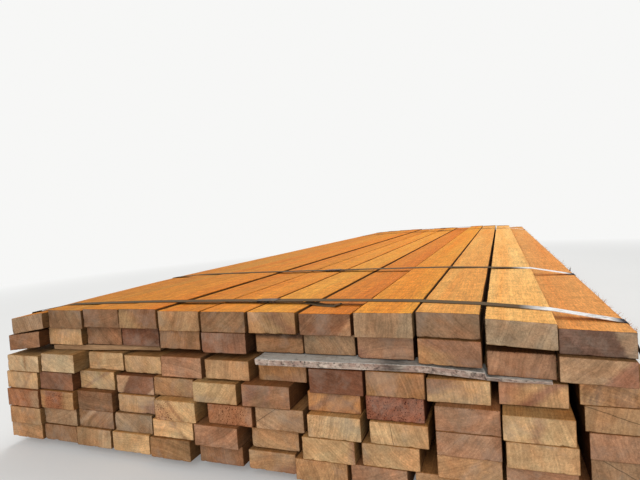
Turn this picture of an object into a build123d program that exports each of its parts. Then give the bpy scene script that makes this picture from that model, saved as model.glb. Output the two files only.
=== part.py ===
from build123d import *
import math
import os

# A strapped stack of rough-sawn boards on spacers, in millimetres.
# X runs across the stack, Y along the boards from the near ends to the far ends, Z is up.
# The origin is in the middle of the stack, on the floor.

# Boards
board_width = 99.0
board_thickness = 40.0
board_length = 3600.0
arris = 1.0                 # what sawing and handling took off each long edge
far_step = 6.0              # the far ends differ by multiples of this
sag_reach = 800.0           # length over which the near end of a bent or twisted board leaves its line
sag_runs = 4                # straight runs that such a board is made of

# Stickers, the strips between two layers, and the spacers under the stack
sticker_thickness = 12.5
sticker_width = 48.0
sticker_inset = 6.0         # from the stack's left edge to the end of a hidden sticker
sticker_overhang = 22.0     # how far a sticker falls short of the last board that it carries
spacer_thickness = 20.0
spacer_width = 60.0
spacer_inset = 35.0
spacer_from_end = 300.0
spacer_count = 4
sticker_rows = 4            # rows of hidden stickers behind the front ones
sticker_far_inset = 50.0    # from the far ends to the middle of the last sticker
front_sticker_inset = 8.0   # left end of the left front sticker, in from the edge of its first board
front_sticker_past = 80.0   # its right end, past the left edge of its last board
front_sticker_start = 8.0   # left end of the right front sticker, in from the edge of its first board
seat_gap = 0.3              # air between a bent piece and what it lies on
crush_before = 4.0          # a crushed sticker starts to thin this far before the board on it
front_left_behind = 56.0    # middles of the two front stickers, behind the near ends
front_right_behind = 17.0

# Steel strapping
strap_width = 25.0
strap_thickness = 0.9
layer_gap = 0.3             # air between the two layers where the band overlaps
overlap_tail = 60.0         # inner end of the band, past the seal
overlap_step = 12.0         # length over which the band climbs on to its own end
overlap_lead = 12.0         # outer end of the band, past the seal on the other side
bow_runs = 7                # straight runs that a band's bow is made of, seen from above
strap_near_end = 50.0
strap_near_bow = 48.0       # how far the first strap bows along the boards
strap_second = 585.0
strap_bend = 0.9 * arris + strap_thickness / 2     # middle of the band, hugging a board's worn edge

# Crimped seal over the overlap
seal_length = 42.0
seal_thickness = 0.8
seal_clearance = 0.1
seal_seam = 9.0             # open seam along the underside
notch_depth = 2.4
notch_width = 5.0
notch_spacing = 15.0

# The seven layers from the bottom up, as the ends of the boards show them from left to right.
# inset: how far the first board stands in from the leftmost one of all.
# gaps: the air after each board.  extra: thicker (+) or thinner (-) than nominal.
# back: how far the near end stands behind (+) or in front of (-) the common line.
# sag: how far the left and right sides of a board's near end hang below the rest of it (above it
# where negative), by its place in the layer.
layers = [
    dict(inset=0,
         gaps=[3, 5, 6, 6, 17, 13, 6, 7, 12, 8, 18],
         extra=[-1, -2, 2, 2, 3, 0, -2, 1, 3, 1, 0, 1],
         back=[0, 5, 0, 0, -5, 5, 5, -10, -10, -5, -15, 10]),
    dict(inset=12,
         gaps=[1, 2, 5, 7, 10, 20, 17, 11, 28, 5, 21],
         extra=[0, 0, 0, 1, -3, 3, -2, 2, 0, 0, -2, 2],
         back=[-10, 0, 5, 5, 0, -10, 10, -15, -10, -15, -20, 20]),
    dict(inset=16,
         gaps=[2, 3, 8, 14, 23, 10, 11, 14, 13, 5, 19],
         extra=[1, 2, 3, -1, 3, 0, 3, 2, 0, 0, 1, 2],
         back=[-15, -10, 0, 10, -10, 0, -5, -15, -10, -20, -30, 15]),
    dict(inset=13,
         gaps=[2, 3, 6, 5, 9, 15, 32, 11, 18, 2, 17],
         extra=[0, 1, 1, 0, -1, 1, 3, -3, 3, 1, 1, 1],
         back=[-10, -5, 15, 15, 10, -5, -10, 0, -5, -20, -30, 15]),
    dict(inset=27,
         gaps=[3, 7, 3, 12, 12, 15, 15, 5, 2, 11, 15],
         extra=[-2, 2, 0, -2, 3, -1, -2, 4, 3, -1, -2, 1],
         back=[-15, -10, 25, 25, 10, 5, 15, -10, -10, -5, 5, 15]),
    dict(inset=31,
         gaps=[1, 1, 2, 11, 15, 11, 2, 7, 10, 6, 1],
         extra=[-3, 0, 0, 3, 0, 1, 0, -1, 5, 3, 0, -1],
         back=[-10, 15, 30, 30, 20, 5, 25, 25, 15, -10, 5, -20],
         sag={1: (12, 0), 10: (-3, 0), 11: (14.5, 17.5), 12: (-4, 0)}),
    dict(inset=46,
         gaps=[1, 1, 1, 5, 8, 4, 7, 13, 4, 8, 2],
         extra=[-3, 3, 2, 3, 2, 2, 2, 1, 3, 2, 1, -1],
         back=[-10, 5, 10, 10, 10, 5, 10, 10, -15, -5, -25, -10],
         sag={1: (12.9, -2.6), 10: (-3.1, -0.1), 11: (-2.5, 4.5), 12: (-4.1, -0.1)}),
]
sticker_layer = 5           # the stickers lie on this layer, counted from the bottom
sticker_board_count = 11    # the last board of the layer hangs past the stickers' ends


def board_edges(layer):
    """Left edges of a layer's boards, measured from the leftmost board of all."""
    edges = [float(layer["inset"])]
    for gap in layer["gaps"]:
        edges.append(edges[-1] + board_width + gap)
    return edges


stack_width = max(board_edges(layer)[-1] + board_width for layer in layers)
left_face = -stack_width / 2


def far_end(level, column):
    """Far end of a board, which varies a little from board to board."""
    return board_length + far_step * ((3 * column + 7 * level) % 9)


front = min(min(layer["back"]) for layer in layers)
back = max(far_end(level, column) for level in range(len(layers)) for column in range(12))
near_line = -(front + back) / 2     # Y of the line that the near ends stand on, more or less


def highest_under(left, right, tops):
    """Height of the tallest thing under a span, or of the tallest of all if nothing is right under it."""
    heights = [top for x0, x1, top in tops if x0 < right and x1 > left]
    return max(heights or [top for x0, x1, top in tops])


def export(part, name):
    """Labels a finished piece and writes it under its own name."""
    part.label = name
    export_step(part, f"parts/{name}.step")


os.makedirs("parts", exist_ok=True)

# Stack the boards up: every board lies on the tallest of the boards under it.
boards = []
tops = [(left_face, -left_face, spacer_thickness)]
for level, layer in enumerate(layers):
    placed = []
    for column, edge in enumerate(board_edges(layer)):
        left = left_face + edge
        placed.append(dict(
            left=left,
            bottom=highest_under(left, left + board_width, tops),
            height=board_thickness + layer["extra"][column],
            near=near_line + layer["back"][column],
            far=near_line + far_end(level, column),
            sag=layer.get("sag", {}).get(column + 1),
        ))
    boards.append(placed)
    tops = [(b["left"], b["left"] + board_width, b["bottom"] + b["height"]) for b in placed]
    if level == sticker_layer - 1:
        under_stickers = list(tops)
        sticker_left = placed[0]["left"] + sticker_inset
        sticker_right = placed[sticker_board_count - 1]["left"] + board_width - sticker_overhang
        sticker_height = highest_under(sticker_left, sticker_right, under_stickers)
        tops.append((sticker_left, sticker_right, sticker_height + sticker_thickness))


def feet(board, y):
    """Lower left and lower right corner of a board's section at y."""
    run = sag_reach / sag_runs
    runs = min(max((board["near"] + sag_reach - y) / run, 0), sag_runs)
    whole = math.floor(runs)
    share = (whole ** 2 + (runs - whole) * (2 * whole + 1)) / sag_runs ** 2
    left_drop, right_drop = board["sag"] or (0, 0)
    left = board["left"]
    return (left, board["bottom"] - left_drop * share), (left + board_width, board["bottom"] - right_drop * share)


for level, placed in enumerate(boards):
    with BuildPart() as layer_of_boards:
        for board in placed:
            # Sections from the far end to the near end; a bent board has more of them where it leaves its line.
            places = [board["far"]]
            for run in range(sag_runs if board["sag"] else 0):
                places.append(board["near"] + sag_reach * (1 - run / sag_runs))
            places.append(board["near"])
            for y in places:
                left_foot, right_foot = feet(board, y)
                head = (0, board["height"])
                with BuildSketch(Plane.XZ.offset(-y)):
                    Polygon(left_foot, right_foot, Vector(*right_foot) + Vector(*head),
                            Vector(*left_foot) + Vector(*head), align=None)
                    chamfer(vertices(), arris)
            loft(ruled=True)
    export(layer_of_boards.part, f"boards_layer_{level + 1}")


def strip(name, underside, top, middle_y, width, skew=0.0):
    """A sawn strip laid across the stack, between two lines of (x, z) points from left to right,
    or up to a thickness if that is what top is, and turned a little in plan by skew degrees."""
    turned = math.radians(skew)
    middle_x = (underside[0][0] + underside[-1][0]) / 2
    side = Plane(
        origin=(middle_x, middle_y, 0),
        x_dir=(math.cos(turned), math.sin(turned), 0),
        z_dir=(math.sin(turned), -math.cos(turned), 0),
    )
    if not isinstance(top, list):
        top = [(x, z + top) for x, z in underside]
    lower = [(x - middle_x, z) for x, z in underside]
    upper = [(x - middle_x, z) for x, z in reversed(top)]
    with BuildPart() as piece:
        with BuildSketch(side):
            Polygon(*lower, *upper, align=None)
        extrude(amount=width / 2, both=True)
        chamfer(piece.edges().filter_by(lambda edge: edge.length > 1.5 * width), arris)
    export(piece.part, name)


# Spacers under the stack
spacer_pitch = (board_length - 2 * spacer_from_end) / (spacer_count - 1)
for number in range(spacer_count):
    strip(f"bottom_spacer_{number + 1}", [(left_face + spacer_inset, 0), (-left_face - spacer_inset, 0)],
          spacer_thickness, near_line + spacer_from_end + number * spacer_pitch, spacer_width)

# The two stickers at the near end are short, and neither lies quite square to the boards.
below, above = boards[sticker_layer - 1], boards[sticker_layer]
left_start = below[1]["left"] + front_sticker_inset
left_stop = below[3]["left"] + front_sticker_past
left_height = highest_under(left_start, left_stop, under_stickers)
strip("sticker_front_left", [(left_start, left_height), (left_stop, left_height)],
      sticker_thickness, near_line + front_left_behind, sticker_width, 6.2)

# The right one comes down on to lower boards at its right end, and is crushed thin there under the
# board that hangs down.
right_start = below[6]["left"] + front_sticker_start
hanging = above[sticker_board_count - 1]
bend_start = max(above[9]["left"], below[8]["left"] + board_width)
low_start = below[9]["left"] + board_width
right_height = highest_under(right_start, bend_start, under_stickers)
low_height, end_height = (under_stickers[column][2] + seat_gap for column in (9, 10))
crush_start, crush_stop = hanging["left"] - crush_before, hanging["left"] - crush_before / 2
crush_share = (crush_start - bend_start) / (low_start - bend_start)
left_room, right_room = (foot[1] - seat_gap for foot in feet(hanging, hanging["near"]))
end_room = left_room + (right_room - left_room) * (sticker_right - hanging["left"]) / board_width
strip("sticker_front_right",
      [(right_start, right_height), (bend_start, right_height), (low_start, low_height), (sticker_right, end_height)],
      [(right_start, right_height + sticker_thickness), (bend_start, right_height + sticker_thickness),
       (crush_start, right_height + (low_height - right_height) * crush_share + sticker_thickness),
       (crush_stop, left_room), (sticker_right, end_room)],
      near_line + front_right_behind, sticker_width, 1.2)

# Further back single stickers run across under the eleven boards, evenly spaced up to the far ends.
sticker_pitch = (board_length - sticker_far_inset - front_right_behind) / sticker_rows
for number in range(sticker_rows):
    strip(f"sticker_{number + 2}", [(sticker_left, sticker_height), (sticker_right, sticker_height)],
          sticker_thickness, near_line + front_right_behind + sticker_pitch * (number + 1), sticker_width)


def taut_loop(points):
    """Corners of the loop that a taut band takes round the points, the way the band runs: over
    the top from right to left, down the left side, under the stack and up the right side."""
    ordered = sorted(set(points))
    loop = []
    for run in (ordered, ordered[::-1]):
        start = len(loop)
        for x, z in run:
            while len(loop) >= start + 2 and turn(loop[-2], loop[-1], (x, z)) <= 1e-6:
                loop.pop()
            loop.append((x, z))
        loop.pop()
    return loop


def turn(a, b, c):
    """Positive where the way from a over b to c turns left."""
    return (b[0] - a[0]) * (c[1] - b[1]) - (b[1] - a[1]) * (c[0] - b[0])


def off_line(start, end, x, lift):
    """The point over x that lies lift outside the line from start to end."""
    along = Vector(end[0] - start[0], end[1] - start[1]).normalized()
    outward = Vector(along.Y, -along.X)
    share = (x - start[0]) / (end[0] - start[0])
    foot = Vector(*start) + (Vector(*end) - Vector(*start)) * share
    return foot + outward * lift


def off_corner(before, corner, after, lift):
    """The corner of the loop pushed outwards by lift."""
    first = Vector(corner[0] - before[0], corner[1] - before[1]).normalized()
    second = Vector(after[0] - corner[0], after[1] - corner[1]).normalized()
    normals = Vector(first.Y, -first.X), Vector(second.Y, -second.X)
    return Vector(*corner) + (normals[0] + normals[1]) * (lift / (1 + normals[0].dot(normals[1])))



def board_corners(near_y, far_y):
    """Corners of all the boards' sections between two places, as high as they get there."""
    corners = []
    for board in [board for placed in boards for board in placed]:
        for side in (0, 1):
            x, foot = max(feet(board, near_y)[side], feet(board, far_y)[side])
            corners += [(x, foot), (x, foot + board["height"])]
    return corners


top_spans = [(b["left"], b["left"] + board_width, b["bottom"] + b["height"]) for b in boards[-1]]
inner_level = -(layer_gap + strap_thickness / 2)    # middle of the inner layer, below the taut line
outer_level = strap_thickness / 2


def strap_and_seal(number, edge_y, bow, joint_x):
    """A steel band round the stack at edge_y, bowed along the boards by bow in the middle of the
    top, and the crimped seal that holds its overlapping ends at joint_x."""
    # The seal and the inner end lie on the boards, so the band is lifted where they need the room.
    reach = seal_length / 2 + overlap_tail
    room = seal_thickness + seal_clearance + strap_thickness + layer_gap
    joint_height = highest_under(joint_x - reach, joint_x + reach, top_spans) + room
    corners = board_corners(near_line + edge_y - strap_width, near_line + edge_y + bow + strap_width)
    loop = taut_loop(corners + [(joint_x - reach, joint_height), (joint_x + reach, joint_height)])
    count = len(loop)
    joint_edge = next(i for i in range(count) if loop[i][0] > joint_x >= loop[(i + 1) % count][0])
    right_corner, left_corner = loop[joint_edge], loop[(joint_edge + 1) % count]

    # Middle line of the band: inner end, step, once round the stack, outer end
    step_x = joint_x - seal_length / 2 - overlap_lead
    route = [
        off_line(right_corner, left_corner, joint_x + reach, inner_level),
        off_line(right_corner, left_corner, step_x, inner_level),
        off_line(right_corner, left_corner, step_x - overlap_step, outer_level),
    ]
    bends = [0, 0]
    for i in range(joint_edge + 1, joint_edge + 1 + count):
        before, corner, after = loop[(i - 1) % count], loop[i % count], loop[(i + 1) % count]
        route.append(off_corner(before, corner, after, outer_level))
        sharpness = turn(before, corner, after) / (math.dist(before, corner) * math.dist(corner, after))
        bends.append(strap_bend if sharpness > 0.5 else 0)
    route.append(off_line(right_corner, left_corner, step_x + 1, outer_level))

    # Seen from above, the band bows along the boards in straight runs.
    half = stack_width / 2 + 10 * strap_thickness
    middle_y = near_line + edge_y + bow
    stops = [half * (2 * k / bow_runs - 1) for k in range(bow_runs + 1)]
    plan = [(x, middle_y - bow * (x / half) ** 2) for x in stops]
    start, end = next((p, q) for p, q in zip(plan, plan[1:]) if q[0] > joint_x)
    drift = (end[1] - start[1]) / (end[0] - start[0])
    joint_y = start[1] + drift * (joint_x - start[0])
    joint_middle = off_line(right_corner, left_corner, joint_x, 0)
    rise = (right_corner[1] - left_corner[1]) / (right_corner[0] - left_corner[0])
    joint_plane = Plane(
        origin=(joint_x, joint_y, joint_middle.Y - layer_gap / 2),
        x_dir=(1, drift, rise),
        z_dir=(-rise, 0, 1),
    )

    # The bites of the crimping tool, in pairs, through both edges of seal and band
    edge_of_seal = strap_width / 2 + seal_clearance + seal_thickness
    with BuildPart() as bites:
        with BuildSketch(joint_plane.offset(-room * 2)):
            for side in (1, -1):
                for along in (-notch_spacing / 2, notch_spacing / 2):
                    with Locations((along, side * edge_of_seal)):
                        Polygon((-notch_width / 2, side), (notch_width / 2, side),
                                (0, -side * notch_depth), align=None)
        extrude(amount=room * 4)

    with BuildPart() as band:
        with BuildSketch(Plane.XZ.offset(-(middle_y + strap_width))):
            with BuildLine():
                FilletPolyline(*route, radius=bends)
            trace(line_width=strap_thickness)
        extrude(amount=bow + 2 * strap_width)
        with BuildSketch():
            with BuildLine():
                Polyline(*plan)
            trace(line_width=strap_width)
        extrude(amount=2 * joint_height, mode=Mode.INTERSECT)
        add(bites.part, mode=Mode.SUBTRACT)
    export(band.part, f"strap_{number}")

    inner_y = strap_width + 2 * seal_clearance
    inner_z = 2 * strap_thickness + layer_gap + 2 * seal_clearance
    section = Plane(joint_plane.origin, x_dir=joint_plane.y_dir, z_dir=joint_plane.x_dir)
    with BuildPart() as seal:
        with BuildSketch(section.offset(-seal_length / 2)):
            RectangleRounded(inner_y + 2 * seal_thickness, inner_z + 2 * seal_thickness, seal_thickness)
            Rectangle(inner_y, inner_z, mode=Mode.SUBTRACT)
            with Locations((0, -inner_z / 2)):
                Rectangle(seal_seam, 3 * seal_thickness, align=(Align.CENTER, Align.CENTER),
                          mode=Mode.SUBTRACT)
        extrude(amount=seal_length)
        add(bites.part, mode=Mode.SUBTRACT)
    export(seal.part, f"seal_{number}")


# Two straps at each end of the stack, each set as far from its own end
straps = [
    (strap_near_end, strap_near_bow, 0.0),
    (strap_second, 12.0, -30.0),
    (board_length - strap_second, 20.0, 20.0),
    (board_length - strap_near_end - strap_near_bow, 24.0, -15.0),
]
for number, (edge_y, bow, joint_x) in enumerate(straps, start=1):
    strap_and_seal(number, edge_y, bow, joint_x)
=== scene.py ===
import math
import bpy
import bmesh
import numpy as np
from mathutils import Matrix, Vector


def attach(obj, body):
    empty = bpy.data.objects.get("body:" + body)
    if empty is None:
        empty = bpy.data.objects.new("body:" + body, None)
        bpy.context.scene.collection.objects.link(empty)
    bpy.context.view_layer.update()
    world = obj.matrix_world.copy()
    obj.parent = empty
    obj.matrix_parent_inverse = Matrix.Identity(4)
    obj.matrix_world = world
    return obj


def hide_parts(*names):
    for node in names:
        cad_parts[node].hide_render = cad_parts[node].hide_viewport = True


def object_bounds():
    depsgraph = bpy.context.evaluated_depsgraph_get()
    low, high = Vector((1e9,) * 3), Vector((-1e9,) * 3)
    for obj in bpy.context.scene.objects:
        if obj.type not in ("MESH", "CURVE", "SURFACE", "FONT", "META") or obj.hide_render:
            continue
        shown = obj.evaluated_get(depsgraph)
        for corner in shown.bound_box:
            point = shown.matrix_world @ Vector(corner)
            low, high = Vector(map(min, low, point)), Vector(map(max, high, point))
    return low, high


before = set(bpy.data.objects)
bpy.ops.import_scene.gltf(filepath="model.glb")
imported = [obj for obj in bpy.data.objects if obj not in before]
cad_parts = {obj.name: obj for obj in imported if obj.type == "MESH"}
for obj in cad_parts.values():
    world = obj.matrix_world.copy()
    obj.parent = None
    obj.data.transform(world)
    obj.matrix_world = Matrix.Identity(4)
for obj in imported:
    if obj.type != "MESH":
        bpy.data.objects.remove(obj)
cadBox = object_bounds()
cadLow = np.array(cadBox[0])
cadHigh = np.array(cadBox[1])
mm = 0.001
fullTurn = 6.2832


# Node helpers

def feed(tree, socket, value):
    # gives a socket a plain value, a colour, or the socket that feeds it
    if isinstance(value, bpy.types.NodeSocket):
        tree.links.new(value, socket)
    elif socket.type == "RGBA":
        socket.default_value = (*value[:3], 1.0)
    else:
        socket.default_value = value


def addNode(tree, kind, inputs=None, **settings):
    # one node with its settings and inputs
    node = tree.nodes.new(kind)
    for name, value in settings.items():
        setattr(node, name, value)
    for name, value in (inputs or {}).items():
        feed(tree, node.inputs[name], value)
    return node


def mathNode(tree, operation, first, second=0.0, third=0.0, clamp=False):
    inputs = {0: first, 1: second, 2: third}
    return addNode(tree, "ShaderNodeMath", inputs, operation=operation, use_clamp=clamp).outputs[0]


def times(tree, first, second):
    return mathNode(tree, "MULTIPLY", first, second)


def stretch(tree, coord, scale):
    # coordinates scaled by a different number on each axis
    return addNode(tree, "ShaderNodeVectorMath", {0: coord, 1: scale}, operation="MULTIPLY").outputs[0]


def remap(tree, value, fromLow, fromHigh, toLow=0.0, toHigh=1.0):
    names = {"Value": value, "From Min": fromLow, "From Max": fromHigh, "To Min": toLow, "To Max": toHigh}
    return addNode(tree, "ShaderNodeMapRange", names).outputs[0]


def mixColour(tree, factor, first, second, blend="MIX"):
    inputs = {0: factor, 6: first, 7: second}
    return addNode(tree, "ShaderNodeMix", inputs, data_type="RGBA", blend_type=blend).outputs[2]


def tinted(tree, amount, colour, tint):
    # a colour multiplied by a tint, as far as the amount says
    return mixColour(tree, amount, colour, mixColour(tree, 1.0, colour, tint, "MULTIPLY"))


def shade(tree, colour, light, strength=1.0):
    # multiplies a colour by a grey value
    grey = addNode(tree, "ShaderNodeCombineColor", {0: light, 1: light, 2: light}).outputs[0]
    return mixColour(tree, strength, colour, grey, "MULTIPLY")


def vary(tree, colour, value, light, reach=(0.0, 1.0), strength=1.0):
    # lightens or darkens a colour, from the first light at the start of the value's reach to the second
    return shade(tree, colour, remap(tree, value, *reach, *light), strength)


def noise(tree, coord, scale, detail=3.0, roughness=0.55, distortion=0.0):
    sockets = {"Vector": coord, "Scale": scale, "Detail": detail, "Roughness": roughness,
               "Distortion": distortion}
    return addNode(tree, "ShaderNodeTexNoise", sockets).outputs[0]


def dots(tree, coord, scale):
    # distance from the nearest of many scattered points
    return addNode(tree, "ShaderNodeTexVoronoi", {"Vector": coord, "Scale": scale}).outputs["Distance"]


def newGroup(name, inputs, outputs):
    group = bpy.data.node_groups.new(name, "ShaderNodeTree")
    for label, kind, value in inputs:
        socket = group.interface.new_socket(label, in_out="INPUT", socket_type=kind)
        if value is not None:
            socket.default_value = value
    for label in outputs:
        group.interface.new_socket(label, in_out="OUTPUT", socket_type="NodeSocketFloat")
    return group, group.nodes.new("NodeGroupInput").outputs, group.nodes.new("NodeGroupOutput").inputs


def placeGroup(tree, group, inputs):
    return addNode(tree, "ShaderNodeGroup", inputs, node_tree=group).outputs


# Shared effects

woodGrainSettings = dict(   # how often each pattern repeats in a metre, across the board and along it
    wander=(26.0, 1.3, 26.0),
    mottle=(105.0, 5.0, 105.0),
    bands=(17.0, 0.7, 17.0),
    fibre=(520.0, 9.0, 520.0),
    pores=(480.0, 16.0, 480.0),
    ringSteps=0.45,         # how fast the rings' strength changes from ring to ring
    ringDrift=1.5,          # and along the board
    ringUneven=0.9,
    ringLine=0.10,
)


def makeWoodGrain():
    # rings round the pith, which the coordinates are measured from: x and z across, y along the board
    look = woodGrainSettings
    group, given, made = newGroup("woodGrain", [
        ("Coord", "NodeSocketVector", None),
        ("Ring Width", "NodeSocketFloat", 0.005),
        ("Wobble", "NodeSocketFloat", 0.004),
    ], ["Rings", "Bands", "Mottle", "Fibre", "Pores"])

    def pattern(name, detail, roughness=0.55, distortion=0.0):
        return noise(group, stretch(group, given["Coord"], look[name]), 1.0, detail, roughness, distortion)

    x, y, z = addNode(group, "ShaderNodeSeparateXYZ", {0: given["Coord"]}).outputs
    radius = mathNode(group, "SQRT", mathNode(group, "MULTIPLY_ADD", x, x, times(group, z, z)))
    away = mathNode(group, "SUBTRACT", pattern("wander", 2.0), 0.5)
    bent = mathNode(group, "MULTIPLY_ADD", away, times(group, given["Wobble"], 4.0), radius)
    turns = mathNode(group, "DIVIDE", bent, given["Ring Width"])
    wave = mathNode(group, "MULTIPLY_ADD", mathNode(group, "SINE", times(group, turns, fullTurn)), 0.5, 0.5)
    places = {0: times(group, turns, look["ringSteps"]), 1: times(group, y, look["ringDrift"])}
    step = addNode(group, "ShaderNodeCombineXYZ", places).outputs[0]
    uneven = remap(group, noise(group, step, 1.0, 5.0, 0.78), 0.26, 0.74)
    line = times(group, mathNode(group, "POWER", wave, 2.2), look["ringLine"])
    feed(group, made["Rings"], mathNode(group, "MULTIPLY_ADD", uneven, look["ringUneven"], line))
    feed(group, made["Mottle"], remap(group, pattern("mottle", 5.0, 0.68, 0.5), 0.3, 0.7))
    feed(group, made["Bands"], remap(group, pattern("bands", 3.0, 0.6, 0.6), 0.3, 0.7))
    feed(group, made["Fibre"], remap(group, pattern("fibre", 4.0, 0.7), 0.28, 0.72))
    fine = dots(group, stretch(group, given["Coord"], look["pores"]), 1.0)
    feed(group, made["Pores"], remap(group, fine, 0.32, 0.12))
    return group


sawMarksSettings = dict(swayScale=14.0, swayReach=6.0, lineScale=0.4, patchScale=31.0, patches=(0.25, 1.0))


def makeSawMarks():
    # the lines that a saw leaves, across the direction of Along, with uneven depth
    look = sawMarksSettings
    group, given, made = newGroup("sawMarks", [
        ("Coord", "NodeSocketVector", None),
        ("Along", "NodeSocketVector", (0.0, 1.0, 0.0)),
        ("Pitch", "NodeSocketFloat", 0.004),
        ("Sway", "NodeSocketFloat", 0.003),
    ], ["Lines", "Depth"])
    level = addNode(group, "ShaderNodeVectorMath", {0: given["Coord"], 1: given["Along"]},
                    operation="DOT_PRODUCT").outputs["Value"]
    sway = mathNode(group, "SUBTRACT", noise(group, given["Coord"], look["swayScale"], 2.0), 0.5)
    level = mathNode(group, "MULTIPLY_ADD", sway, times(group, given["Sway"], look["swayReach"]), level)
    steps = mathNode(group, "DIVIDE", level, given["Pitch"])
    line = addNode(group, "ShaderNodeCombineXYZ", {0: steps}).outputs[0]
    uneven = noise(group, line, look["lineScale"], 5.0, 0.78)
    patch = noise(group, given["Coord"], look["patchScale"], 2.0)
    feed(group, made["Lines"], remap(group, uneven, 0.3, 0.7))
    feed(group, made["Depth"], remap(group, patch, 0.35, 0.65, *look["patches"]))
    return group


def makeGrime():
    # soft patches of dust and damp, with a ragged rim
    group, given, made = newGroup("grime", [
        ("Coord", "NodeSocketVector", None),
        ("Size", "NodeSocketFloat", 9.0),
        ("Cover", "NodeSocketFloat", 0.4),
    ], ["Mask"])
    softRim = 0.16
    broad = noise(group, given["Coord"], given["Size"], 5.0, 0.65, 0.4)
    low = mathNode(group, "SUBTRACT", 0.72, times(group, given["Cover"], 0.4))
    feed(group, made["Mask"], remap(group, broad, low, mathNode(group, "ADD", low, softRim)))
    return group


def makeArrisWearAndShading():
    # broken mask along the arrises, from the distance that each piece carries: it places wear, painted shade
    # and painted highlight
    group, given, made = newGroup("arrisWearAndShading", [
        ("Edge", "NodeSocketFloat", 0.0),
        ("Coord", "NodeSocketVector", None),
        ("Reach", "NodeSocketFloat", 0.6),
    ], ["Mask"])
    broken = remap(group, noise(group, given["Coord"], 160.0, 3.0, 0.7), 0.3, 0.7, -0.5, 0.5)
    worn = mathNode(group, "MULTIPLY_ADD", broken, 0.7, given["Edge"])
    start = mathNode(group, "SUBTRACT", 1.0, given["Reach"])
    feed(group, made["Mask"], remap(group, worn, start, 1.0))
    return group


woodGrain = makeWoodGrain()
sawMarks = makeSawMarks()
grime = makeGrime()
arrisWearAndShading = makeArrisWearAndShading()


# Materials

def newMaterial(name):
    material = bpy.data.materials.new(name)
    material.use_nodes = True
    tree = material.node_tree
    return material, tree, tree.nodes["Principled BSDF"]


def attribute(tree, name, output="Vector"):
    return addNode(tree, "ShaderNodeAttribute", attribute_name=name).outputs[output]


def split(tree, name):
    # the three numbers that a colour attribute holds
    return addNode(tree, "ShaderNodeSeparateColor", {0: attribute(tree, name, "Color")}).outputs


def grainOf(tree, coord, look):
    return placeGroup(tree, woodGrain, {"Coord": coord, "Ring Width": look["ringWidth"],
                                        "Wobble": look["wobble"]})


def sawnOf(tree, coord, look):
    return placeGroup(tree, sawMarks, {"Coord": coord, "Along": look["sawAlong"], "Pitch": look["sawPitch"]})


def grimeOf(tree, coord, size, cover):
    return placeGroup(tree, grime, {"Coord": coord, "Size": size, "Cover": cover})["Mask"]


def wearAndShadingOf(tree, coord, reach):
    edge = attribute(tree, "edge", "Fac")
    return placeGroup(tree, arrisWearAndShading, {"Edge": edge, "Coord": coord, "Reach": reach})["Mask"]


def dress(tree, shader, colour, roughness, specular, height, strength, distance):
    bump = addNode(tree, "ShaderNodeBump", {"Strength": strength, "Distance": distance, "Height": height})
    feed(tree, shader.inputs["Base Color"], colour)
    feed(tree, shader.inputs["Roughness"], roughness)
    feed(tree, shader.inputs["Specular IOR Level"], specular)
    feed(tree, shader.inputs["Normal"], bump.outputs[0])


noCheck = 1.0       # what an end without a check carries in place of its distance from one

endGrainSettings = dict(
    ringWidth=5.2 * mm, wobble=3.0 * mm, sawPitch=2.8 * mm, sawAlong=(0.94, 0.0, 0.34),
    flatten=(1.0, 0.1, 1.0),    # patterns of the end reach this much less far into the board
    sawLight=0.46,              # how much lighter and darker the saw lines are
    vesselScale=240.0, vesselsFrom=0.6,
    ringLight=(1.42, 0.60), mottleLight=(0.80, 1.18), cloudLight=(0.78, 1.20), gritLight=(0.72, 1.24),
    speckleLight=(0.80, 1.18), checkLight=(1.0, 0.38),
    redTint=(1.10, 0.86, 0.74), poreTint=(0.42, 0.34, 0.30), vesselTint=(0.30, 0.16, 0.14),
    # arrisTint darkens the arrises of the ends: partly dirt on their furry rims, partly painted shade of the
    # dark lines between boards
    dust=(0.36, 0.30, 0.24), arrisTint=(0.46, 0.37, 0.31),
    roughness=(0.78, 0.94), specular=0.12, bump=0.35 * mm,
)


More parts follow.
